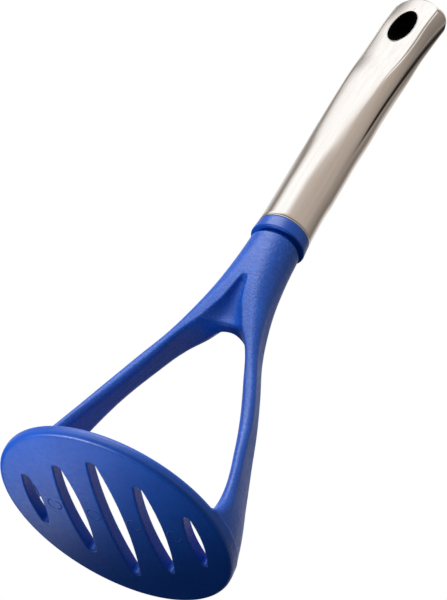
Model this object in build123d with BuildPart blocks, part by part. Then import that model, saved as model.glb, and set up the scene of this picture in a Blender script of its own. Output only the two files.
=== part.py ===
"""Slotted potato masher: a one-piece nylon head on a hollow formed steel handle.

The object stands on its mashing face. The origin is the centre of that face, +Z runs up the
handle, X runs across the two arms and Y through the thickness of the handle. Millimetres.
"""

import os

from build123d import *

os.makedirs("parts", exist_ok=True)

# Mashing plate
PLATE_RADIUS = 44.0
PLATE_THICK = 4.6
PLATE_FACE_ROUND = 1.6
PLATE_TOP_ROUND = 1.9
SLOT_PITCH = 15.7
# half length, half width in the middle, half width where the blunt end starts
CENTRE_SLOT = (31.3, 4.0, 1.7)
MIDDLE_SLOT = (23.8, 3.7, 1.6)
OUTER_SLOT = (13.5, 2.75, 1.3)

# Arms and neck: height, half width, half depth, corner radius of each level section
FORK_SECTIONS = [
    (2.0, 44.1, 18.5, 3.0),
    (6.0, 43.5, 14.6, 2.9),
    (12.0, 42.0, 11.0, 2.7),
    (22.0, 38.9, 8.4, 2.6),
    (35.0, 34.6, 6.7, 2.4),
    (50.0, 29.8, 5.5, 2.3),
    (65.0, 24.1, 5.3, 2.4),
    (78.0, 18.6, 5.9, 3.0),
    (90.0, 14.6, 7.3, 5.0),
    (103.0, 11.8, 8.8, 7.4),
    (116.0, 10.2, 9.5, 8.6),
    (128.4, 9.5, 9.5, 9.0),
]
# Opening between the arms: half width against height, from the crotch down to the plate
CROTCH_HEIGHT = 87.9
OPENING_SIDE = [
    (4.3, 87.1),
    (8.3, 84.7),
    (13.4, 78.0),
    (18.9, 65.0),
    (24.8, 50.0),
    (30.2, 35.0),
    (33.9, 22.0),
    (35.6, 12.0),
]
OPENING_FOOT = (36.5, 3.5)
# The feet thin out along the rim: a line across their inner corners, leaning out as it rises
FOOT_BEVEL_HEIGHT = 16.0
FOOT_BEVEL_LEAN = 4.0
FOOT_BEVEL_INNER = (31.0, 4.0)
FOOT_BEVEL_OUTER = (43.0, 20.0)

# Scooped recess above the crotch, on both faces: half width against height up the scoop's floor
SCOOP_BASE_HEIGHT = 74.0
SCOOP_BASE_DEPTH = 1.2
SCOOP_TOP_HEIGHT = 108.5
SCOOP_TOP_DEPTH = 7.7
SCOOP_SIDE = [(15.0, 0.0), (10.6, 8.0), (7.4, 13.5), (4.6, 19.5), (2.4, 26.5), (1.5, 32.0)]
SCOOP_TIP = (0.0, 34.6)

# Joint between neck and handle
NECK_TOP = 128.4
SPIGOT_RADIUS = 8.2
COLLAR_RADIUS = 10.8
COLLAR_BOTTOM = 129.8
COLLAR_HEIGHT = 5.6
COLLAR_TAPER = 5.0
COLLAR_ROUND = 0.6
SLEEVE_LENGTH = 8.0
TANG_WIDTH = 11.0
TANG_DEPTH = 6.0
TANG_LENGTH = 40.0
TANG_ROUND = 1.2
CORE_LENGTH = 34.0

# Handle tube
TUBE_RADIUS = 10.3
TUBE_WALL = 0.6
MOUTH_HEIGHT = COLLAR_BOTTOM + COLLAR_HEIGHT
ROUND_END_HEIGHT = 176.0
# Formed end: an ellipse over straight sides, seen from the front
TIP_HEIGHT = 265.8
TIP_ARCH = 7.6
TIP_HALF_WIDTH = 9.6
DIAGONAL = 0.70711
# height, half width, front apex y, front corner y, back corner y, back apex y, side bulge
TUBE_SECTIONS = [
    (196.0, 10.2, -9.6, -7.0, 7.4, 10.3, 2.8),
    (214.0, 10.0, -8.1, -6.0, 7.5, 10.1, 2.1),
    (230.0, 9.8, -5.9, -3.9, 8.6, 10.5, 1.4),
    (248.0, 9.7, -3.7, -1.8, 10.6, 11.8, 0.9),
    (268.0, 9.8, -0.2, 1.6, 13.0, 14.0, 0.9),
]

# Hang hole
HOLE_HEIGHT = 247.0
HOLE_LENGTH = 19.0
HOLE_WIDTH = 9.5
LINER_WALL = 1.1
LINER_RECESS = 0.4
FRONT_OUTSIDE = -20.0
BACK_OUTSIDE = 25.0


def lens(half_length, half_width, end_half_width):
    """Long slot with bowed sides and blunt round ends, its length along Y."""
    shoulder = half_length - end_half_width
    with BuildSketch() as outline:
        with BuildLine():
            for side in (-1, 1):
                ThreePointArc(
                    (side * end_half_width, -shoulder),
                    (side * half_width, 0),
                    (side * end_half_width, shoulder),
                )
                ThreePointArc(
                    (-end_half_width, side * shoulder),
                    (0, side * half_length),
                    (end_half_width, side * shoulder),
                )
        make_face()
    return outline.sketch


def tube_section(height, half_width, front, front_corner, back_corner, back, bulge, inset):
    """Four arcs that meet at the creases, brought in by the inset."""
    corner_x = half_width - bulge - inset
    front_y = front_corner + inset
    back_y = back_corner - inset
    middle_y = (front_corner + back_corner) / 2
    with BuildSketch(Plane.XY.offset(height)) as outline:
        with BuildLine():
            ThreePointArc((-corner_x, front_y), (0, front + inset), (corner_x, front_y))
            ThreePointArc((-corner_x, back_y), (0, back - inset), (corner_x, back_y))
            for side in (-1, 1):
                ThreePointArc(
                    (side * corner_x, front_y),
                    (side * (half_width - inset), middle_y),
                    (side * corner_x, back_y),
                )
        make_face()
    return outline.sketch


def tube_solid(inset):
    """Solid inside the tube's outline, brought in by the inset, with its closed round tip."""
    radius = TUBE_RADIUS - inset
    diagonal = radius * DIAGONAL
    round_arcs = (radius, -radius, -diagonal, diagonal, radius, radius - diagonal)
    with BuildPart() as tube:
        sections = [tube_section(ROUND_END_HEIGHT, *round_arcs, 0)]
        for section in TUBE_SECTIONS:
            sections.append(tube_section(*section, inset))
        loft(sections)
        # Straight round stretch, down from the loft's lower end to the mouth
        extrude(faces().sort_by(Axis.Z)[0], amount=ROUND_END_HEIGHT - MOUTH_HEIGHT)
        # Front outline: straight sides under an arched top
        shoulder = TIP_HEIGHT - TIP_ARCH
        side = TIP_HALF_WIDTH - inset
        with BuildSketch(Plane.XZ):
            with BuildLine():
                EllipticalCenterArc((0, shoulder), side, TIP_ARCH - inset, arc_size=180)
                Polyline(
                    (-side, shoulder),
                    (-TUBE_RADIUS, shoulder),
                    (-TUBE_RADIUS, MOUTH_HEIGHT),
                    (TUBE_RADIUS, MOUTH_HEIGHT),
                    (TUBE_RADIUS, shoulder),
                    (side, shoulder),
                )
            make_face()
        extrude(amount=2 * TUBE_RADIUS, both=True, mode=Mode.INTERSECT)
    return tube.part


# Nylon head: fork, recess, plate, slots, spigot and tang
with BuildPart() as masher_head:
    for section_height, half_width, half_depth, corner in FORK_SECTIONS:
        with BuildSketch(Plane.XY.offset(section_height)):
            RectangleRounded(2 * half_width, 2 * half_depth, corner)
    loft()
    with BuildSketch(Plane.XZ):
        with BuildLine():
            Spline(
                (0, CROTCH_HEIGHT),
                *OPENING_SIDE,
                OPENING_FOOT,
                tangents=[(1, 0), (0.08, -1)],
                tangent_scalars=(1, 1),
            )
            Line(OPENING_FOOT, (0, OPENING_FOOT[1]))
            Line((0, OPENING_FOOT[1]), (0, CROTCH_HEIGHT))
        make_face()
        mirror(about=Plane.YZ)
    extrude(amount=PLATE_RADIUS, both=True, mode=Mode.SUBTRACT)
    # Thin the feet towards their ends, then end them flush with the rim
    with BuildSketch(Plane.XY.offset(FORK_SECTIONS[0][0])):
        with BuildLine():
            Polyline(
                FOOT_BEVEL_INNER,
                FOOT_BEVEL_OUTER,
                (FOOT_BEVEL_INNER[0], FOOT_BEVEL_OUTER[1]),
                close=True,
            )
        make_face()
        mirror(about=Plane.XZ)
        mirror(about=Plane.YZ)
    extrude(amount=FOOT_BEVEL_HEIGHT, taper=FOOT_BEVEL_LEAN, mode=Mode.SUBTRACT)
    with BuildSketch():
        Circle(PLATE_RADIUS - 0.1)
    extrude(amount=NECK_TOP, mode=Mode.INTERSECT)
    # Scooped recess, front and back
    for side in (-1, 1):
        floor_rise = Vector(
            0,
            side * (SCOOP_TOP_DEPTH - SCOOP_BASE_DEPTH),
            SCOOP_TOP_HEIGHT - SCOOP_BASE_HEIGHT,
        )
        outward = Vector(side * -1, 0, 0).cross(floor_rise)
        floor_plane = Plane(
            origin=(0, side * SCOOP_BASE_DEPTH, SCOOP_BASE_HEIGHT),
            x_dir=(side * -1, 0, 0),
            z_dir=outward,
        )
        with BuildSketch(floor_plane):
            with BuildLine():
                Spline(*SCOOP_SIDE, SCOOP_TIP, tangents=[(-0.5, 1), (-1, 0)])
                Line(SCOOP_TIP, (0, 0))
                Line((0, 0), SCOOP_SIDE[0])
            make_face()
            mirror(about=Plane.YZ)
        extrude(amount=PLATE_RADIUS / 2, mode=Mode.SUBTRACT)

    # Mashing plate, under the feet
    with BuildSketch(Plane.XZ):
        with Locations((PLATE_RADIUS / 2, PLATE_THICK / 2)):
            Rectangle(PLATE_RADIUS, PLATE_THICK)
        fillet(vertices().group_by(Axis.X)[-1].sort_by(Axis.Y)[0], PLATE_FACE_ROUND)
        fillet(vertices().group_by(Axis.X)[-1].sort_by(Axis.Y)[-1], PLATE_TOP_ROUND)
    revolve(axis=Axis.Z)
    # Slots, mirrored about the middle one
    with BuildSketch():
        add(lens(*CENTRE_SLOT))
        for side in (-1, 1):
            with Locations((side * SLOT_PITCH, 0)):
                add(lens(*MIDDLE_SLOT))
            with Locations((side * 2 * SLOT_PITCH, 0)):
                add(lens(*OUTER_SLOT))
    extrude(amount=PLATE_THICK, mode=Mode.SUBTRACT)
    # Spigot across the open groove and through the collar, then the tang inside the handle
    with BuildSketch(Plane.XY.offset(NECK_TOP)):
        Circle(SPIGOT_RADIUS)
    extrude(amount=MOUTH_HEIGHT - NECK_TOP)
    with BuildSketch(Plane.XY.offset(MOUTH_HEIGHT)):
        RectangleRounded(TANG_WIDTH, TANG_DEPTH, TANG_ROUND)
    extrude(amount=TANG_LENGTH)

# Collar: tapered flange between neck and tube, with a sleeve pressed into the tube's mouth
with BuildPart() as collar:
    with BuildSketch(Plane.XY.offset(COLLAR_BOTTOM)):
        Circle(COLLAR_RADIUS)
    extrude(amount=COLLAR_HEIGHT, taper=COLLAR_TAPER)
    fillet(edges().filter_by(GeomType.CIRCLE), COLLAR_ROUND)
    with BuildSketch(Plane.XY.offset(COLLAR_BOTTOM)):
        Circle(SPIGOT_RADIUS)
    extrude(amount=COLLAR_HEIGHT, mode=Mode.SUBTRACT)
    with BuildSketch(Plane.XY.offset(MOUTH_HEIGHT)):
        Circle(TUBE_RADIUS - TUBE_WALL)
        RectangleRounded(TANG_WIDTH, TANG_DEPTH, TANG_ROUND, mode=Mode.SUBTRACT)
    extrude(amount=SLEEVE_LENGTH)

# Core: grips the tang further up the tube
with BuildPart() as handle_core:
    with BuildSketch(Plane.XY.offset(MOUTH_HEIGHT + SLEEVE_LENGTH)):
        Circle(TUBE_RADIUS - TUBE_WALL)
        RectangleRounded(TANG_WIDTH, TANG_DEPTH, TANG_ROUND, mode=Mode.SUBTRACT)
    extrude(amount=CORE_LENGTH - SLEEVE_LENGTH)


# Tube: outside and bore, each a round stretch lofted into the formed end and trimmed at the tip
with BuildPart() as hang_hole:
    with BuildSketch(Plane.XZ.offset(-BACK_OUTSIDE)):
        with Locations((0, HOLE_HEIGHT)):
            Ellipse(HOLE_WIDTH / 2, HOLE_LENGTH / 2)
    extrude(amount=BACK_OUTSIDE - FRONT_OUTSIDE)
with BuildPart() as handle_shell:
    add(tube_solid(0))
    add(tube_solid(TUBE_WALL), mode=Mode.SUBTRACT)
    add(hang_hole.part, mode=Mode.SUBTRACT)

# Liner: oval bush through the tube, its lips just below the steel
with BuildPart() as hang_hole_liner:
    add(tube_solid(LINER_RECESS))
    add(hang_hole.part, mode=Mode.INTERSECT)
    with BuildSketch(Plane.XZ.offset(-BACK_OUTSIDE)):
        with Locations((0, HOLE_HEIGHT)):
            Ellipse(HOLE_WIDTH / 2 - LINER_WALL, HOLE_LENGTH / 2 - LINER_WALL)
    extrude(amount=BACK_OUTSIDE - FRONT_OUTSIDE, mode=Mode.SUBTRACT)

masher_head.part.label = "masher_head"
collar.part.label = "collar"
handle_core.part.label = "handle_core"
handle_shell.part.label = "handle_shell"
hang_hole_liner.part.label = "hang_hole_liner"

export_step(masher_head.part, "parts/masher_head.step")
export_step(collar.part, "parts/collar.step")
export_step(handle_core.part, "parts/handle_core.step")
export_step(handle_shell.part, "parts/handle_shell.step")
export_step(hang_hole_liner.part, "parts/hang_hole_liner.step")
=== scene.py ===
"""Looks of the slotted potato masher: grained blue nylon head, satin steel handle, studio stage.

Lengths are millimetres while a shape is worked out, and metres once it is a mesh in the frame.
The head is a distance field turned into a mesh. The handle is a grid of points found on a
distance field by rays from its middle.
"""

import math

import bmesh
import bpy
import numpy as np
import openvdb
from mathutils import Matrix, Vector


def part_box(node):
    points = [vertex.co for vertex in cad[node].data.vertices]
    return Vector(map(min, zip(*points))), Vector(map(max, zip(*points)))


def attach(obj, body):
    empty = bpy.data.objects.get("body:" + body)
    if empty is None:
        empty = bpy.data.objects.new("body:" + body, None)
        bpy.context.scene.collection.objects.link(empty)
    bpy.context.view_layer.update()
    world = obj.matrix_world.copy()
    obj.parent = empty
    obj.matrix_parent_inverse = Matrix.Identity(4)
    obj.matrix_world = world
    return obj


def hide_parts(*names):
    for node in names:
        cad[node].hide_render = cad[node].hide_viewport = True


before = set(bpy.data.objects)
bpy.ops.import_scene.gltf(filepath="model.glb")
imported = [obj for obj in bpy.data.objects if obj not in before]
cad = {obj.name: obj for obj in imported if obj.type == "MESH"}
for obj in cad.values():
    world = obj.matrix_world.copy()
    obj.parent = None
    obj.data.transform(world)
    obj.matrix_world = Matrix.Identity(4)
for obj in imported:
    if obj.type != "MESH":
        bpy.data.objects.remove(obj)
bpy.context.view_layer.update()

MM = 0.001


def span(node, axis, side):
    """Millimetre place of one face of a CAD node's box: side 0 is the low one, 1 the high one."""
    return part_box(node)[side][axis] / MM


# Sizes read from the frame
PLATE_RADIUS = span("masher_head", 0, 1)
TANG_TOP = span("masher_head", 2, 1)
COLLAR_BOTTOM = span("collar", 2, 0)
TUBE_RADIUS = -span("handle_shell", 1, 0)
MOUTH = span("handle_shell", 2, 0)
TIP = span("handle_shell", 2, 1)
HOLE_HALF_WIDTH = span("hang_hole_liner", 0, 1)
HOLE_MIDDLE = (span("hang_hole_liner", 2, 0) + span("hang_hole_liner", 2, 1)) / 2
HOLE_HALF_LENGTH = (span("hang_hole_liner", 2, 1) - span("hang_hole_liner", 2, 0)) / 2

# Plate and slots
PLATE_THICK = 4.6
PLATE_FACE_ROUND = 1.6
PLATE_TOP_ROUND = 1.9
SLOT_PITCH = 15.7
SLOT_EDGE = 0.5
# half length, half width in the middle, half width where the blunt end starts
SLOTS = [(31.3, 4.0, 1.7), (23.8, 3.7, 1.6), (13.5, 2.75, 1.3)]

# Fork: height, half width, half depth, edge radius
FORK = [
    (0.0, 44.0, 24.0, 1.6),
    (4.6, 43.8, 18.0, 1.8),
    (7.0, 43.4, 14.2, 2.0),
    (12.0, 42.2, 11.0, 2.2),
    (22.0, 38.9, 8.5, 2.2),
    (35.0, 34.5, 6.8, 2.2),
    (50.0, 29.7, 5.3, 2.2),
    (65.0, 23.8, 5.2, 2.3),
    (78.0, 18.2, 5.9, 3.0),
    (90.0, 14.4, 7.2, 4.6),
    (103.0, 11.7, 8.7, 7.2),
    (116.0, 10.2, 9.4, 8.6),
    (130.4, 9.4, 9.4, 9.0),
]
# Opening between the arms: half width and height, from the crotch to the plate
OPENING = [
    (0.0, 87.9),
    (4.4, 87.1),
    (8.2, 84.7),
    (13.1, 78.0),
    (18.5, 65.0),
    (24.5, 50.0),
    (29.9, 35.0),
    (33.8, 22.0),
    (35.3, 12.0),
    (36.4, 4.6),
    (36.6, 0.0),
]
# Feet: height, how far the inner face curls out to the rim, half depth where it gets there
FOOT_CURL = [
    (0.0, 6.4, 20.0),
    (4.6, 6.0, 19.0),
    (12.0, 4.4, 13.5),
    (22.0, 1.6, 10.0),
    (34.0, 0.0, 9.0),
]
FOOT_FILLET = 1.3
# Leaf-shaped recess: height, half width, half thickness left at its middle
LEAF = [
    (0.0, 36.8, 4.0),
    (22.0, 34.2, 3.0),
    (50.0, 25.0, 1.0),
    (65.0, 18.9, 0.6),
    (75.0, 14.8, 1.1),
    (79.0, 12.4, 1.6),
    (83.0, 10.2, 2.2),
    (87.0, 8.0, 2.5),
    (91.5, 5.9, 2.9),
    (95.2, 4.1, 3.8),
    (99.6, 2.8, 5.3),
    (103.0, 2.0, 6.5),
    (105.2, 1.5, 7.3),
    (106.7, 1.0, 8.6),
    (109.6, 0.8, 12.0),
    (131.0, 0.8, 14.0),
]
LEAF_EDGE = 0.8
LEAF_HOLLOW = 3.0
# Inner edges of the arms are rounded less towards the crotch
INNER_EDGE = [(0.0, 2.2), (60.0, 2.2), (76.0, 1.3), (90.0, 1.2), (131.0, 1.2)]
NECK_TOP = 128.4
NECK_EDGE = 0.9
SPIGOT_RADIUS = 8.2
TANG_HALF_WIDTH = 5.5
TANG_HALF_DEPTH = 3.0
TANG_ROUND = 1.2

# Handle: height, half width, front apex y, front corner y, back corner y, back apex y,
# side bulge, how much wider the back corner is
ROUND = TUBE_RADIUS
DIAGONAL = ROUND * math.sqrt(0.5)
TUBE = [
    (MOUTH, ROUND, -ROUND, -DIAGONAL, DIAGONAL, ROUND, ROUND - DIAGONAL, 0.0),
    (156.0, ROUND, -ROUND, -DIAGONAL, DIAGONAL, ROUND, ROUND - DIAGONAL, 0.0),
    (168.0, 10.3, -9.85, -7.28, 7.3, 10.3, 3.0, 0.0),
    (178.0, 10.3, -9.2, -7.35, 7.3, 10.3, 3.1, 0.1),
    (190.0, 10.25, -8.8, -7.3, 7.4, 10.3, 3.05, 0.5),
    (203.0, 10.15, -8.2, -6.75, 7.4, 10.2, 2.5, 0.4),
    (215.0, 10.0, -7.2, -5.95, 7.7, 10.1, 2.05, 0.65),
    (229.0, 9.95, -4.9, -3.65, 9.0, 10.7, 1.25, 0.4),
    (240.0, 9.8, -3.7, -2.4, 9.8, 11.2, 0.8, 0.0),
    (249.0, 9.7, -3.1, -1.75, 10.7, 11.8, 0.65, 0.0),
    (268.0, 10.2, 0.1, 1.5, 13.2, 14.2, 1.2, 0.0),
]
# Height, radius of the front creases, radius of the back corners
CREASE = [
    (MOUTH, 0.0, 0.0),
    (164.0, 0.0, 0.0),
    (190.0, 0.5, 0.5),
    (215.0, 0.5, 1.4),
    (229.0, 0.4, 3.0),
    (248.0, 0.35, 2.4),
    (268.0, 0.35, 1.6),
]
# Pressed line along each side: height, y, depth, half width; the steel is also painted dark along
# it as shade
SIDE_LINE = [
    (MOUTH, -3.4, 0.0, 0.5),
    (162.0, -3.1, 0.0, 0.5),
    (180.0, -2.4, 0.12, 0.6),
    (195.0, -1.8, 0.3, 0.7),
    (222.0, 0.8, 0.4, 0.95),
    (239.0, 3.8, 0.4, 1.4),
    (255.0, 7.4, 0.4, 1.6),
    (266.0, 9.8, 0.35, 1.4),
]
# Fold beside each front crease, where the steel is also painted dark at half strength as shade
FOLD_START = 206.0
FOLD_FULL = 236.0
FOLD_DEPTH = 0.2
FOLD_HALF_WIDTH = 0.3
# Points of the handle's grid: round it, up its plain part, up its formed part, over its tip
GRID_AROUND = 400
GRID_PLAIN = 26
GRID_FORMED = 150
GRID_CAP = 46
FORMED_FROM = 184.0
# Angle from the front at which the front creases lie, and how far round points crowd there
CREASE_ANGLE = math.radians(53)
CREASE_CROWD = math.radians(7)
TIP_ARCH = 7.0
TIP_BULGE = 2.4
SHOULDER = TIP - TIP_ARCH
TUBE_WALL = 0.6
HOLE_RIM = 0.22
MOUTH_RIM = 0.32

# Ejector marks on the underside
MARK_RADIUS = 2.6
MARK_LINE = 0.32
# Where the parting line shows: beyond this half width, and this wide
SEAM_OUTSIDE = 9.0
SEAM_HALF_WIDTH = 0.22

NYLON = (0.002, 0.084, 0.50)
NYLON_DEEP = (0.001, 0.068, 0.43)
# Lighter blue painted on the grain's specks as glints
NYLON_LIT = (0.012, 0.125, 0.62)
STEEL = (0.86, 0.835, 0.81)
STEEL_DEEP = (0.80, 0.765, 0.735)
# Near-black painted shade for the pressed lines and folds
STEEL_PAINTED_SHADE = (0.012, 0.008, 0.006)
LINER = (0.0015, 0.0015, 0.0015)
LINER_DEEP = (0.0006, 0.0006, 0.0006)
CORE = (0.06, 0.06, 0.065)
CORE_DEEP = (0.03, 0.03, 0.035)
FLOOR = (0.86, 0.86, 0.86)

# Floor, in metres
FLOOR_HALF = 3.0
FLOOR_LEVEL = -0.0003
# Studio seen by the object: compass angle from the front in degrees, brightness, warmth
STUDIO = [
    (-180, 0.80, 0.3),
    (-150, 1.00, 0.1),
    (-128, 0.86, 0.1),
    (-108, 0.74, 0.3),
    (-94, 0.34, 0.7),
    (-76, 0.26, 0.8),
    (-66, 0.80, 0.3),
    (-54, 1.20, 0.0),
    (-10, 1.22, 0.0),
    (2, 0.84, 0.5),
    (12, 0.62, 0.8),
    (40, 0.54, 1.0),
    (90, 0.48, 1.0),
    (108, 0.36, 1.0),
    (150, 0.20, 1.0),
    (166, 0.56, 0.6),
    (180, 0.80, 0.3),
]
WARM = (1.0, 0.86, 0.75)
# How much the bands lean as they rise, the height where they don't, and where the lean starts
STUDIO_LEAN = 0.6
STUDIO_LEVEL = 0.53
LEAN_START = math.radians(-60)
LEAN_FULL = math.radians(-15)
# Below the horizon the studio darkens down to this height and colour
GROUND_FROM = 0.0
GROUND_FULL = -0.45
GROUND = (0.12, 0.12, 0.125)
# Dark screen low behind the left, mirrored by the underside
SCREEN_DIRECTION = (-0.449, 0.719, -0.530)
SCREEN_EDGE = 0.46
SCREEN_FULL = 0.84
SCREEN = (0.004, 0.006, 0.012)
# The photograph's viewing angle, in metres
CAMERA_PLACE = (0.3847, -0.6295, -0.3707)
CAMERA_AHEAD = (-0.4465, 0.7165, 0.5360)
CAMERA_DOWN = (0.1933, 0.6621, -0.7240)
CAMERA_LENS = 146.7
CAMERA_SENSOR = 36.0


def smooth(table, column=1):
    """Smooth function of the table's first column that passes through its points."""
    knots = np.array([row[0] for row in table], float)
    values = np.array([row[column] for row in table], float)
    step = np.diff(knots)
    slope = np.diff(values) / step
    tangent = np.empty_like(values)
    tangent[1:-1] = (slope[:-1] * step[1:] + slope[1:] * step[:-1]) / (step[:-1] + step[1:])
    tangent[0], tangent[-1] = slope[0], slope[-1]

    def at(height):
        height = np.clip(height, knots[0], knots[-1])
        i = np.clip(np.searchsorted(knots, height, side="right") - 1, 0, len(knots) - 2)
        t = (height - knots[i]) / step[i]
        start = values[i] * (1 + 2 * t) * (1 - t) ** 2 + tangent[i] * step[i] * t * (1 - t) ** 2
        end = values[i + 1] * t * t * (3 - 2 * t) - tangent[i + 1] * step[i] * t * t * (1 - t)
        return start + end

    return at


def tilt(function, height):
    """Cosine of the slope of a profile, which turns level distances into true ones."""
    rise = (function(height + 0.25) - function(height - 0.25)) / 0.5
    return 1 / np.hypot(1, rise)


def both(a, b, radius):
    """Distance field of what two fields share, its edge rounded by the radius."""
    inner = np.minimum(-radius, np.maximum(a, b))
    return inner + np.hypot(np.maximum(radius + a, 0), np.maximum(radius + b, 0))


def either(a, b, radius):
    """Distance field of two joined fields, with a fillet of the radius between them."""
    return -both(-a, -b, radius)


def through(points, steps=16):
    """Points along a smooth curve through the given ones, mirrored at its first point."""
    first = np.array([-points[1][0], points[1][1]])
    last = 2 * np.array(points[-1]) - np.array(points[-2])
    chain = np.vstack([first, np.array(points, float), last])
    curve = []
    for before, start, end, after in zip(chain, chain[1:], chain[2:], chain[3:]):
        length = np.linalg.norm(end - start)
        leave = (end - before) / (1e-9 + np.linalg.norm(end - before)) * length
        arrive = (after - start) / (1e-9 + np.linalg.norm(after - start)) * length
        for t in np.linspace(0, 1, steps, endpoint=False):
            curve.append(
                start * (1 + 2 * t) * (1 - t) ** 2
                + leave * t * (1 - t) ** 2
                + end * t * t * (3 - 2 * t)
                - arrive * t * t * (1 - t)
            )
    curve.append(chain[-2])
    return np.array(curve)


class Opening:
    """Signed distance to the opening's outline in the XZ plane, kept on a fine grid."""

    def __init__(self, points, pitch=0.25):
        curve = through(points)
        self.pitch = pitch
        self.low = np.array([-6.0, -6.0])
        self.count = np.array([int(56 / pitch), int(112 / pitch)])
        across = self.low[0] + pitch * np.arange(self.count[0])
        up = self.low[1] + pitch * np.arange(self.count[1])
        x, z = np.meshgrid(np.abs(across), up, indexing="ij")
        nearest = np.full(x.shape, 1e9)
        for (x0, z0), (x1, z1) in zip(curve, curve[1:]):
            dx, dz = x1 - x0, z1 - z0
            t = np.clip(((x - x0) * dx + (z - z0) * dz) / (dx * dx + dz * dz + 1e-12), 0, 1)
            nearest = np.minimum(nearest, np.hypot(x - x0 - t * dx, z - z0 - t * dz))
        edge = np.interp(z, curve[::-1, 1], curve[::-1, 0], right=-1.0)
        self.value = np.where(x < edge, -nearest, nearest)

    def __call__(self, x, z):
        u = np.clip((x - self.low[0]) / self.pitch, 0, self.count[0] - 1.001)
        v = np.clip((z - self.low[1]) / self.pitch, 0, self.count[1] - 1.001)
        i, j = u.astype(int), v.astype(int)
        a, b = u - i, v - j
        low = self.value[i, j] * (1 - b) + self.value[i, j + 1] * b
        high = self.value[i + 1, j] * (1 - b) + self.value[i + 1, j + 1] * b
        return low * (1 - a) + high * a


fork_width = smooth(FORK, 1)
fork_depth = smooth(FORK, 2)
fork_edge = smooth(FORK, 3)
foot_curl = smooth(FOOT_CURL, 1)
foot_reach = smooth(FOOT_CURL, 2)
leaf_width = smooth(LEAF, 1)
leaf_web = smooth(LEAF, 2)
inner_edge = smooth(INNER_EDGE, 1)
opening = Opening(OPENING)


def slot_field(x, y):
    """Distance to the nearest slot, negative inside it."""
    nearest = np.full(np.broadcast(x, y).shape, 1e9)
    for index, (half_length, half_width, end) in enumerate(SLOTS):
        shoulder = half_length - end
        bow = ((half_width - end) ** 2 + shoulder**2) / (2 * (half_width - end))
        off = np.abs(x - index * SLOT_PITCH)
        side = np.hypot(off + bow - half_width, y) - bow
        tip = np.hypot(off, y - shoulder) - end
        nearest = np.minimum(nearest, np.where(y < shoulder, side, tip))
    return nearest


def plate_field(x, y, z):
    """Round plate with its edges and slots."""
    rim = np.hypot(x, y) - PLATE_RADIUS
    plate = both(both(rim, -z, PLATE_FACE_ROUND), z - PLATE_THICK, PLATE_TOP_ROUND)
    return both(plate, -slot_field(x, y), SLOT_EDGE)


def fork_field(x, y, z):
    """Two arms with feet on the rim, joined in the round neck, and the leaf recess."""
    roundness = np.clip((60 - z) / 40, 0, 1)
    outer = (np.hypot(x, y * roundness) - fork_width(z)) * tilt(fork_width, z)
    depth = fork_depth(z)
    hollow = depth - leaf_web(z)
    cut = hollow * (1 - np.minimum(x / leaf_width(z), 1.6) ** LEAF_HOLLOW)
    cut = np.minimum(cut, 4 * hollow - LEAF_EDGE)
    eased = np.maximum(cut + LEAF_EDGE, 0) ** 2 / (4 * LEAF_EDGE)
    cut = np.where(cut > LEAF_EDGE, cut, eased)
    face = (y - depth + cut) * tilt(fork_depth, z)
    body = both(outer, face, fork_edge(z))
    reach = np.minimum(y / foot_reach(z), 1.4)
    inner = x - foot_curl(z) * (reach**2 + reach**6) / 2
    return both(body, -opening(inner, z), inner_edge(z))


def head_field(x, y, z):
    """The one-piece head: plate, fork, spigot in the collar and tang in the handle."""
    x, y = np.abs(x), np.abs(y)
    head = either(plate_field(x, y, z), fork_field(x, y, z), FOOT_FILLET)
    below = both(np.hypot(x, y) - PLATE_RADIUS, -z, PLATE_FACE_ROUND)
    head = both(np.maximum(head, below), z - NECK_TOP, NECK_EDGE)
    spigot = np.maximum(np.hypot(x, y) - SPIGOT_RADIUS, z - MOUTH)
    tang = both(x - TANG_HALF_WIDTH, y - TANG_HALF_DEPTH, TANG_ROUND)
    post = np.maximum(np.minimum(spigot, np.maximum(tang, z - TANG_TOP)), NECK_TOP - 4 - z)
    return np.minimum(head, post)


def settle(field, points, rounds=3, limit=0.35):
    """Moves points onto a field's zero surface along its slope."""
    h = 0.03
    for _ in range(rounds):
        x, y, z = points.T
        value = field(x, y, z)
        slope = np.stack(
            [
                field(x + h, y, z) - field(x - h, y, z),
                field(x, y + h, z) - field(x, y - h, z),
                field(x, y, z + h) - field(x, y, z - h),
            ],
            axis=1,
        ) / (2 * h)
        size = np.maximum((slope**2).sum(axis=1), 0.2)
        points = points - slope * np.clip(value / size, -limit, limit)[:, None]
    return points


def mesh_object(name, points, faces, body="root"):
    """Object from millimetre points and faces, shaded smooth, riding on a CAD body."""
    data = bpy.data.meshes.new(name)
    data.from_pydata((np.asarray(points) * MM).tolist(), [], faces)
    data.validate()
    data.update()
    data.shade_smooth()
    obj = bpy.data.objects.new(name, data)
    bpy.context.scene.collection.objects.link(obj)
    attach(obj, body)
    return obj


def make_head(pitch=0.42):
    """Nylon head meshed from its field on one quarter and mirrored to the whole."""
    side = np.arange(0, PLATE_RADIUS + 2, pitch)
    up = np.arange(-2, TANG_TOP + 2, pitch)
    quarter = head_field(side[:, None, None], side[None, :, None], up[None, None, :])
    half = np.concatenate([quarter[:0:-1], quarter], axis=0)
    whole = np.concatenate([half[:, :0:-1], half], axis=1)
    whole = np.clip(whole, -2, 2).astype(np.float32)
    grid = openvdb.FloatGrid(2.0)
    grid.copyFromArray(whole)
    points, quads = grid.convertToQuads(0.0)
    start = np.array([-side[-1], -side[-1], up[0]])
    points = settle(head_field, np.asarray(points, float) * pitch + start)
    head = mesh_object("head", points, np.asarray(quads)[:, ::-1].tolist())
    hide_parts("masher_head")
    return head


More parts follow.
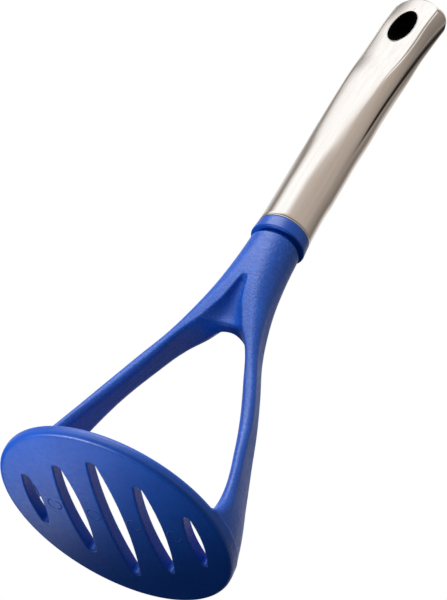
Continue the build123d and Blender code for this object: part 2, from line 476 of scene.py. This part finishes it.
tube_half_width = smooth(TUBE, 1)
tube_front = smooth(TUBE, 2)
tube_front_corner = smooth(TUBE, 3)
tube_back_corner = smooth(TUBE, 4)
tube_back = smooth(TUBE, 5)
tube_bulge = smooth(TUBE, 6)
tube_spread = smooth(TUBE, 7)
front_crease = smooth(CREASE, 1)
back_round = smooth(CREASE, 2)
line_place = smooth(SIDE_LINE, 1)
line_depth = smooth(SIDE_LINE, 2)
line_width = smooth(SIDE_LINE, 3)


def arched(x, y, half_chord, rise, apex):
    """Distance to an arc over a chord, its top at the apex height; the outside is above it."""
    bow = (half_chord**2 + rise**2) / (2 * rise)
    return np.hypot(x, y - apex + bow) - bow


def tube_field(x, y, z):
    """Outside of the handle: four arcs at each level, under the arched tip."""
    x = np.abs(x)
    half_width, bulge = tube_half_width(z), tube_bulge(z)
    front, front_corner = tube_front(z), tube_front_corner(z)
    back, back_corner = tube_back(z), tube_back_corner(z)
    corner, spread = half_width - bulge, tube_spread(z)
    middle, half = (front_corner + back_corner) / 2, (back_corner - front_corner) / 2
    across = (y - middle) / half
    side = arched(y - middle, x - spread * (across + 1) / 2, half, bulge, half_width)
    side = side + line_depth(z) * side_line(y, z)
    front_face = arched(x, -y, corner, front_corner - front, -front)
    front_face = front_face + FOLD_DEPTH * crease_fold(x, z)
    back_face = arched(x, y, corner + spread, back - back_corner, back)
    # The arched end bulges between its front and back rims, as the sides do
    grow = np.maximum(1 - across**2, 0)
    reach, rise = corner + (bulge + 0.5) * grow, TIP_ARCH + TIP_BULGE * grow
    u, v = x / reach, np.maximum(z - SHOULDER, 0) / rise
    power = 2 + 0.7 * grow
    level = (u**power + v**power) ** (1 / power)
    arch = level * (level - 1) / (np.hypot(u / reach, v / rise) + 1e-9)
    arch = arch - 0.02 * np.maximum(SHOULDER - z, 0) ** 2
    wall = np.maximum(side, arch)
    return both(both(wall, front_face, front_crease(z)), back_face, back_round(z))


def side_line(y, z):
    """Strength of the pressed line at a point on the handle's side."""
    return np.exp(-(((y - line_place(z)) / line_width(z)) ** 2))


def crease_fold(x, z):
    """Strength of the fold just inside each front crease."""
    corner = tube_half_width(z) - tube_bulge(z)
    along = np.clip((z - FOLD_START) / (FOLD_FULL - FOLD_START), 0, 1)
    off = (np.abs(x) - corner + 2 * FOLD_HALF_WIDTH) / FOLD_HALF_WIDTH
    return along * np.exp(-(off**2))


def cast(origin, direction, inset):
    """Points where rays from inside the handle meet its surface, brought in by the inset."""
    near = np.zeros(direction.shape[:-1])
    far = np.full(direction.shape[:-1], 30.0)
    for _ in range(30):
        middle = (near + far) / 2
        at = origin + direction * middle[..., None]
        inside = tube_field(at[..., 0], at[..., 1], at[..., 2]) < -inset
        near, far = np.where(inside, middle, near), np.where(inside, far, middle)
    return origin + direction * near[..., None]


def tube_rows(inset):
    """Rings of points from the mouth to the tip; the last ring closes on one point."""
    # Points stand closer together by the front creases
    fine = np.radians(np.linspace(-180, 180, 3601))
    near_crease = np.exp(-(((np.abs(fine) - CREASE_ANGLE) / CREASE_CROWD) ** 2))
    crowd = np.cumsum(1 + 3 * near_crease)
    share = np.linspace(0, 1, GRID_AROUND, endpoint=False)
    turn = np.interp(share, (crowd - crowd[0]) / (crowd[-1] - crowd[0]), fine)
    level = np.stack([np.sin(turn), -np.cos(turn), np.zeros(GRID_AROUND)], axis=1)
    top = SHOULDER - 4
    plain = np.linspace(MOUTH, FORMED_FROM, GRID_PLAIN, endpoint=False)
    formed = np.linspace(FORMED_FROM, top, GRID_FORMED, endpoint=False)
    heights = np.concatenate([plain, formed])
    middle = (tube_front(heights) + tube_back(heights)) / 2
    centres = np.stack([np.zeros(len(heights)), middle, heights], axis=1)
    outward = np.broadcast_to(level, (len(heights), GRID_AROUND, 3))
    rows = cast(centres[:, None, :], outward, inset)
    rise = np.linspace(0, math.pi / 2, GRID_CAP + 1)
    ahead = np.cos(rise)[:, None, None] * level
    upward = ahead + np.sin(rise)[:, None, None] * np.array([0, 0, 1.0])
    pivot = np.array([0, (tube_front(top) + tube_back(top)) / 2, top])
    return np.concatenate([rows, cast(pivot, upward, inset)])


def in_hole(points):
    """Level of the hang hole's oval at each point: 1 on its edge, less inside it."""
    return np.hypot(
        points[..., 0] / HOLE_HALF_WIDTH,
        (points[..., 2] - HOLE_MIDDLE) / HOLE_HALF_LENGTH,
    )


def snap_to_hole(points, level):
    """Moves points inside the oval straight out to its edge."""
    moved = points.copy()
    scale = 1 / np.maximum(level, 1e-6)
    moved[:, 0] = points[:, 0] * scale
    moved[:, 2] = (points[:, 2] - HOLE_MIDDLE) * scale + HOLE_MIDDLE
    return moved


def make_handle():
    """Steel tube with its real wall, closed tip and the hang hole through both faces."""
    outer, inner = tube_rows(0.0), tube_rows(TUBE_WALL)
    rings, around = outer.shape[:2]
    count = rings * around
    level = in_hole(outer)
    inside = level < 1
    points = np.concatenate([outer.reshape(-1, 3), inner.reshape(-1, 3)])
    faces = []
    # Edges that only one face has: the hole's outlines and the grid's first and last rings
    edges = {}
    for i in range(rings - 1):
        for j in range(around):
            k = (j + 1) % around
            if inside[i, j] and inside[i, k] and inside[i + 1, j] and inside[i + 1, k]:
                continue
            a, b = i * around + j, i * around + k
            c, d = (i + 1) * around + k, (i + 1) * around + j
            faces.append((a, b, c, d))
            faces.append((a + count, d + count, c + count, b + count))
            for edge in ((a, b), (b, c), (c, d), (d, a)):
                if edge[::-1] in edges:
                    del edges[edge[::-1]]
                else:
                    edges[edge] = True
    last = (rings - 1) * around
    for a, b in edges:
        if a >= last and b >= last:
            continue
        faces.append((b, a, a + count, b + count))
    flat_level = level.reshape(-1)
    rim = sorted({p for edge in edges for p in edge if around <= p < last})
    for shift, inset in ((0, 0.0), (count, TUBE_WALL)):
        chosen = np.array(rim) + shift
        snapped = snap_to_hole(points[chosen], flat_level[rim])
        points[chosen] = slide_y(snapped, inset)
    points[last : last + around] = points[last : last + around].mean(axis=0)
    points[count + last :] = points[count + last :].mean(axis=0)
    handle = mesh_object("handle", points, faces)
    tidy(handle)
    paint_line_shade(handle)
    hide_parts("handle_shell")
    return handle


def paint_line_shade(handle):
    """Stores how strongly the material paints dark shade into the pressed lines and folds at each
    point.
    """
    x, y, z = (np.array([v.co for v in handle.data.vertices]) / MM).T
    beside = np.clip((np.abs(x) / tube_half_width(z) - 0.8) / 0.1, 0, 1)
    strength = side_line(y, z) * line_depth(z) / 0.3 * beside
    ahead = y < (tube_front_corner(z) + tube_back_corner(z)) / 2
    strength = np.maximum(strength, 0.5 * crease_fold(x, z) * ahead)
    painted_shade = handle.data.attributes.new("side_line", "FLOAT", "POINT")
    painted_shade.data.foreach_set("value", strength.astype(np.float32))


def slide_y(points, inset):
    """Moves points along Y onto the handle's surface, each on the side it is nearer to."""
    points = points.copy()
    middle = (tube_front(points[:, 2]) + tube_back(points[:, 2])) / 2
    sign = np.where(points[:, 1] < middle, -1.0, 1.0)
    origin = np.stack([points[:, 0], middle, points[:, 2]], axis=1)
    direction = np.stack([np.zeros(len(points)), sign, np.zeros(len(points))], axis=1)
    return cast(origin, direction, inset)


def tidy(obj):
    """Joins doubled points, drops loose ones and points the faces outward."""
    mesh = bmesh.new()
    mesh.from_mesh(obj.data)
    bmesh.ops.remove_doubles(mesh, verts=mesh.verts, dist=1e-7)
    loose = [v for v in mesh.verts if not v.link_faces]
    bmesh.ops.delete(mesh, geom=loose, context="VERTS")
    bmesh.ops.recalc_face_normals(mesh, faces=mesh.faces)
    mesh.to_mesh(obj.data)
    mesh.free()


def make_bead(name, path, radius, segments=12):
    """Rolled edge: a small round bead along a closed path."""
    path = np.asarray(path)
    ahead = np.roll(path, -1, axis=0) - np.roll(path, 1, axis=0)
    ahead /= np.linalg.norm(ahead, axis=1, keepdims=True)
    outward = path - path.mean(axis=0)
    outward -= (outward * ahead).sum(axis=1, keepdims=True) * ahead
    outward /= np.linalg.norm(outward, axis=1, keepdims=True)
    third = np.cross(ahead, outward)
    points, faces = [], []
    for centre, a, b in zip(path, outward, third):
        for turn in np.linspace(0, 2 * math.pi, segments, endpoint=False):
            points.append(centre + radius * (a * math.cos(turn) + b * math.sin(turn)))
    for i in range(len(path)):
        this, after = i * segments, (i + 1) % len(path) * segments
        for j in range(segments):
            n = (j + 1) % segments
            faces.append((this + j, after + j, after + n, this + n))
    bead = mesh_object(name, points, faces)
    tidy(bead)
    return bead


def hole_bead(name, side):
    """Rolled edge of the hang hole, on the front (-1) or the back (1) face."""
    turn = np.linspace(0, 2 * math.pi, 128, endpoint=False)
    x = (HOLE_HALF_WIDTH + HOLE_RIM) * np.cos(turn)
    z = HOLE_MIDDLE + (HOLE_HALF_LENGTH + HOLE_RIM) * np.sin(turn)
    start = np.stack([x, (tube_front(z) + tube_back(z)) / 2 + side, z], axis=1)
    edge = slide_y(start, 0.0)
    edge[:, 1] -= side * HOLE_RIM * 0.55
    return make_bead(name, edge, HOLE_RIM)


def mouth_bead():
    """Turned lip at the tube's mouth."""
    turn = np.linspace(0, 2 * math.pi, 160, endpoint=False)
    radius = TUBE_RADIUS - MOUTH_RIM * 0.75
    path = np.stack(
        [radius * np.sin(turn), -radius * np.cos(turn), np.full(160, MOUTH + MOUTH_RIM * 0.6)],
        axis=1,
    )
    return make_bead("mouth_lip", path, MOUTH_RIM)


class Nodes:
    """Short way to build a node tree."""

    def __init__(self, tree, coordinates):
        self.tree = tree
        self.place = self.add("ShaderNodeTexCoord").outputs[coordinates]

    def add(self, kind, **settings):
        node = self.tree.nodes.new(kind)
        for key, value in settings.items():
            setattr(node, key, value)
        return node

    def link(self, source, target):
        self.tree.links.new(source, target)

    def scaled(self, scale):
        node = self.add("ShaderNodeMapping")
        node.inputs["Scale"].default_value = scale
        self.link(self.place, node.inputs["Vector"])
        return node.outputs["Vector"]

    def noise(self, scale, detail=2.0, stretch=(1, 1, 1)):
        node = self.add("ShaderNodeTexNoise")
        node.inputs["Scale"].default_value = scale
        node.inputs["Detail"].default_value = detail
        self.link(self.scaled(stretch), node.inputs["Vector"])
        return node.outputs["Fac"]

    def range(self, value, low, high, start=0.0, end=1.0, smooth_step=False):
        node = self.add("ShaderNodeMapRange")
        if smooth_step:
            node.interpolation_type = "SMOOTHSTEP"
        numbers = {"From Min": start, "From Max": end, "To Min": low, "To Max": high}
        for socket, number in numbers.items():
            node.inputs[socket].default_value = number
        self.link(value, node.inputs["Value"])
        return node.outputs["Result"]

    def math(self, operation, *values):
        node = self.add("ShaderNodeMath", operation=operation)
        for socket, value in zip(node.inputs, values):
            if isinstance(value, (int, float)):
                socket.default_value = value
            else:
                self.link(value, socket)
        return node.outputs["Value"]

    def mix(self, factor, low, high):
        node = self.add("ShaderNodeMix", data_type="RGBA")
        self.link(factor, node.inputs["Factor"])
        # Sockets 6 and 7 are the two colours
        for socket, value in zip(node.inputs[6:8], (low, high)):
            if isinstance(value, tuple):
                socket.default_value = (*value, 1)
            else:
                self.link(value, socket)
        return node.outputs[2]

    def axes(self):
        node = self.add("ShaderNodeSeparateXYZ")
        self.link(self.place, node.inputs["Vector"])
        return node.outputs


class Paint(Nodes):
    """Node tree of a new material, ending in its main shader."""

    def __init__(self, name):
        self.material = bpy.data.materials.new(name)
        self.material.use_nodes = True
        super().__init__(self.material.node_tree, "Object")
        self.shader = self.tree.nodes["Principled BSDF"]

    def bump(self, height, distance):
        node = self.add("ShaderNodeBump")
        node.inputs["Distance"].default_value = distance
        node.inputs["Strength"].default_value = 1.0
        self.link(height, node.inputs["Height"])
        self.link(node.outputs["Normal"], self.shader.inputs["Normal"])

    def set(self, **values):
        for key, value in values.items():
            socket = self.shader.inputs[key.replace("_", " ")]
            if isinstance(value, bpy.types.NodeSocket):
                self.link(value, socket)
            else:
                socket.default_value = value


def head_nylon():
    """Blue nylon: moulded grain with lighter painted glints on its specks, a smoother underside
    and its ejector marks.
    """
    m = Paint("head_nylon")
    axes = m.axes()
    grained = m.range(axes["Z"], 0.18, 1.0, 1 * MM, 7 * MM, smooth_step=True)
    fine = m.noise(1500.0, 2.0)
    coarse = m.noise(560.0, 3.0)
    cloud = m.noise(60.0, 2.0)
    grain = m.math("ADD", m.math("MULTIPLY", fine, 0.9), m.math("MULTIPLY", coarse, 0.4))
    grain = m.math("MULTIPLY", grain, grained)
    marks = ejector_marks(m, axes)
    seam = parting_line(m, axes)
    height = m.math("ADD", m.math("ADD", grain, marks), seam)
    plain = m.mix(m.range(cloud, 0.0, 1.0, 0.3, 0.7), NYLON_DEEP, NYLON)
    # Painted glints: the fine grain's peaks take the lighter colour, faint on the underside
    glint = m.math("MULTIPLY", m.range(fine, 0.0, 1.0, 0.5, 0.68), grained)
    shade = m.mix(glint, plain, NYLON_LIT)
    m.set(
        Base_Color=shade,
        Roughness=m.range(m.math("ADD", fine, coarse), 0.34, 0.52, 0.7, 1.3),
        IOR=1.45,
        Specular_IOR_Level=0.5,
    )
    m.bump(height, 0.13 * MM)
    return m.material


def ejector_marks(m, axes):
    """Faint round pin marks on the underside, between the slots."""
    total = None
    for index in (-1.5, -0.5, 0.5, 1.5):
        dx = m.math("SUBTRACT", axes["X"], index * SLOT_PITCH * MM)
        across = m.math("MULTIPLY", dx, dx)
        along = m.math("MULTIPLY", axes["Y"], axes["Y"])
        radius = m.math("SQRT", m.math("ADD", across, along))
        ring = m.math("ABSOLUTE", m.math("SUBTRACT", radius, MARK_RADIUS * MM))
        ring = m.range(ring, 1.0, 0.0, 0.0, MARK_LINE * MM, smooth_step=True)
        total = ring if total is None else m.math("ADD", total, ring)
    under = m.range(axes["Z"], 1.0, 0.0, 0.0, 0.4 * MM)
    return m.math("MULTIPLY", total, m.math("MULTIPLY", under, 1.4))


def parting_line(m, axes):
    """Fine mould line down the outside of each foot and arm, in the middle of the depth."""
    off = m.math("ABSOLUTE", axes["Y"])
    line = m.range(off, 1.0, 0.0, 0.05 * MM, SEAM_HALF_WIDTH * MM, smooth_step=True)
    side = m.math("ABSOLUTE", axes["X"])
    wide = m.range(side, 0.0, 1.0, SEAM_OUTSIDE * MM, (SEAM_OUTSIDE + 3.0) * MM)
    above = m.range(axes["Z"], 0.0, 1.0, 1.5 * MM, 2.5 * MM)
    return m.math("MULTIPLY", m.math("MULTIPLY", line, 1.6), m.math("MULTIPLY", wide, above))


def collar_nylon():
    """Same nylon as the head, polished smoother."""
    m = Paint("collar_nylon")
    fine = m.noise(1500.0, 2.0)
    cloud = m.noise(160.0, 2.0)
    shade = m.mix(m.range(cloud, 0.0, 1.0, 0.3, 0.7), NYLON_DEEP, NYLON)
    m.set(
        Base_Color=shade,
        Roughness=m.range(fine, 0.30, 0.44, 0.3, 0.7),
        IOR=1.45,
        Specular_IOR_Level=0.5,
    )
    m.bump(fine, 0.02 * MM)
    return m.material


def handle_steel():
    """Satin stainless steel with fine grain along the handle, with dark shade painted into its
    pressed lines.
    """
    m = Paint("handle_steel")
    grain = m.noise(1.0, 3.0, stretch=(2600, 2600, 40))
    streak = m.noise(1.0, 2.0, stretch=(700, 700, 14))
    cloud = m.noise(45.0, 2.0)
    shade = m.mix(m.range(streak, 0.0, 1.0, 0.35, 0.65), STEEL_DEEP, STEEL)
    patches = m.range(cloud, -0.015, 0.02, 0.3, 0.7)
    roughness = m.math("ADD", m.range(grain, 0.15, 0.24, 0.3, 0.7), patches)
    # Painted shade: the pressed lines and folds turn near-black and lose their metal
    line = m.add("ShaderNodeAttribute", attribute_name="side_line").outputs["Fac"]
    line = m.range(line, 0.0, 1.0, 0.1, 0.9, smooth_step=True)
    shade = m.mix(line, shade, STEEL_PAINTED_SHADE)
    m.set(
        Base_Color=shade,
        Metallic=m.range(line, 1.0, 0.0),
        Roughness=roughness,
        Specular_IOR_Level=0.2,
    )
    m.bump(m.math("ADD", grain, m.math("MULTIPLY", streak, 0.5)), 0.004 * MM)
    return m.material


def liner_plastic():
    """Smooth black plastic."""
    m = Paint("liner_plastic")
    fine = m.noise(1200.0, 2.0)
    shade = m.mix(m.range(fine, 0.0, 1.0, 0.3, 0.7), LINER_DEEP, LINER)
    rough = m.range(fine, 0.75, 0.9, 0.3, 0.7)
    m.set(Base_Color=shade, Roughness=rough, Specular_IOR_Level=0.02)
    m.bump(fine, 0.01 * MM)
    return m.material


def core_plastic():
    """Dark grey moulded plastic, hidden in the tube."""
    m = Paint("core_plastic")
    grain = m.noise(900.0, 3.0)
    shade = m.mix(m.range(grain, 0.0, 1.0, 0.3, 0.7), CORE_DEEP, CORE)
    m.set(Base_Color=shade, Roughness=m.range(grain, 0.5, 0.7, 0.3, 0.7))
    m.bump(grain, 0.03 * MM)
    return m.material


def wear(obj, material):
    """Gives an object one material."""
    obj.data.materials.clear()
    obj.data.materials.append(material)


def stage_floor():
    """Pale floor that shows from above only, so that it doesn't hide the object from below."""
    corners = [(-1, -1), (1, -1), (1, 1), (-1, 1)]
    points = [(x * FLOOR_HALF, y * FLOOR_HALF, FLOOR_LEVEL) for x, y in corners]
    data = bpy.data.meshes.new("floor")
    data.from_pydata(points, [], [(0, 1, 2, 3)])
    floor = bpy.data.objects.new("floor", data)
    bpy.context.scene.collection.objects.link(floor)
    m = Paint("floor_pale")
    m.set(Base_Color=(*FLOOR, 1), Roughness=0.9)
    clear = m.add("ShaderNodeBsdfTransparent")
    side = m.add("ShaderNodeNewGeometry")
    mix = m.add("ShaderNodeMixShader")
    m.link(side.outputs["Backfacing"], mix.inputs[0])
    m.link(m.shader.outputs[0], mix.inputs[1])
    m.link(clear.outputs[0], mix.inputs[2])
    m.link(mix.outputs[0], m.tree.nodes["Material Output"].inputs["Surface"])
    data.materials.append(m.material)
    floor.visible_shadow = False
    floor.visible_diffuse = False
    floor.visible_glossy = False
    floor.visible_transmission = False


def studio():
    """White to the camera; soft bands of light and warm grey round the object."""
    world = bpy.data.worlds.new("studio")
    bpy.context.scene.world = world
    world.use_nodes = True
    world.node_tree.nodes.clear()
    n = Nodes(world.node_tree, "Generated")
    axes = n.axes()
    angle = n.math("ARCTAN2", axes["X"], n.math("MULTIPLY", axes["Y"], -1.0))
    # From the middle of the front on, the bands lean over to the right as they rise
    lean = n.math("MULTIPLY_ADD", axes["Z"], -STUDIO_LEAN, STUDIO_LEAN * STUDIO_LEVEL)
    share = n.range(angle, 0.0, 1.0, LEAN_START, LEAN_FULL)
    leaned = n.math("MULTIPLY_ADD", lean, share, angle)
    bands = n.add("ShaderNodeValToRGB")
    n.link(n.range(leaned, 0.0, 1.0, -math.pi, math.pi), bands.inputs["Fac"])
    ramp = bands.color_ramp
    ramp.interpolation = "EASE"
    while len(ramp.elements) < len(STUDIO):
        ramp.elements.new(0.5)
    for element, (degrees, light, warmth) in zip(ramp.elements, STUDIO):
        element.position = (degrees + 180) / 360
        element.color = (*[light * (1 + warmth * (tone - 1)) for tone in WARM], 1)
    low = n.range(axes["Z"], 0.0, 1.0, GROUND_FROM, GROUND_FULL, smooth_step=True)
    shade = n.mix(low, bands.outputs["Color"], GROUND)
    facing = n.add("ShaderNodeVectorMath", operation="DOT_PRODUCT")
    facing.inputs[1].default_value = SCREEN_DIRECTION
    n.link(n.place, facing.inputs[0])
    facing = facing.outputs["Value"]
    screen = n.range(facing, 0.0, 1.0, SCREEN_EDGE, SCREEN_FULL, smooth_step=True)
    shade = n.mix(screen, shade, SCREEN)
    seen = n.add("ShaderNodeBackground")
    seen.inputs["Color"].default_value = (1, 1, 1, 1)
    lit = n.add("ShaderNodeBackground")
    n.link(shade, lit.inputs["Color"])
    choice = n.add("ShaderNodeMixShader")
    n.link(n.add("ShaderNodeLightPath").outputs["Is Camera Ray"], choice.inputs[0])
    n.link(lit.outputs[0], choice.inputs[1])
    n.link(seen.outputs[0], choice.inputs[2])
    n.link(choice.outputs[0], n.add("ShaderNodeOutputWorld").inputs["Surface"])


def softbox(name, place, aim, width, height, strength, lit, spread=180):
    """Rectangular light at a place, turned to its aim; it lights only the objects in lit."""
    data = bpy.data.lights.new(name, "AREA")
    data.shape = "RECTANGLE"
    data.size, data.size_y = width, height
    data.energy = strength * width * height
    data.spread = math.radians(spread)
    light = bpy.data.objects.new(name, data)
    light.rotation_mode = "QUATERNION"
    light.location = place
    light.rotation_quaternion = (Vector(place) - Vector(aim)).to_track_quat("Z", "Y")
    light.visible_camera = False
    group = bpy.data.collections.new(name + "_lit")
    for obj in lit:
        group.objects.link(obj)
    light.light_linking.receiver_collection = group
    bpy.context.scene.collection.objects.link(light)


def lights(nylon):
    """Key from the upper front left for the nylon, and two small lamps under the plate."""
    softbox("key", (-0.39, -0.80, 0.93), (0, 0, 0.13), 1.0, 0.8, 16.0, nylon)
    softbox(
        "fill_under", (-0.123, -0.065, -0.20), (-0.081, -0.12, 0), 0.05, 0.05, 125.0, nylon, 80
    )
    softbox("sheen_under", (-0.088, 0.078, -0.060), (-0.035, 0, 0), 0.04, 0.04, 8.0, nylon)


def camera():
    """Long lens from below on the right, rolled so that the handle points to the upper right."""
    data = bpy.data.cameras.new("camera")
    data.lens = CAMERA_LENS
    data.sensor_width = CAMERA_SENSOR
    eye = bpy.data.objects.new("camera", data)
    back = -Vector(CAMERA_AHEAD).normalized()
    right = (-Vector(CAMERA_DOWN)).cross(back).normalized()
    up = back.cross(right)
    turn = Matrix((right, up, back)).transposed()
    eye.matrix_world = Matrix.Translation(CAMERA_PLACE) @ turn.to_4x4()
    bpy.context.scene.collection.objects.link(eye)
    bpy.context.scene.camera = eye


steel = handle_steel()
head = make_head()
wear(head, head_nylon())
wear(cad["collar"], collar_nylon())
wear(make_handle(), steel)
wear(hole_bead("hole_rim_front", -1), steel)
wear(hole_bead("hole_rim_back", 1), steel)
wear(mouth_bead(), steel)
wear(cad["handle_core"], core_plastic())
wear(cad["hang_hole_liner"], liner_plastic())

stage_floor()
studio()
lights([head, cad["collar"]])
camera()
bpy.context.scene.view_settings.view_transform = "Standard"
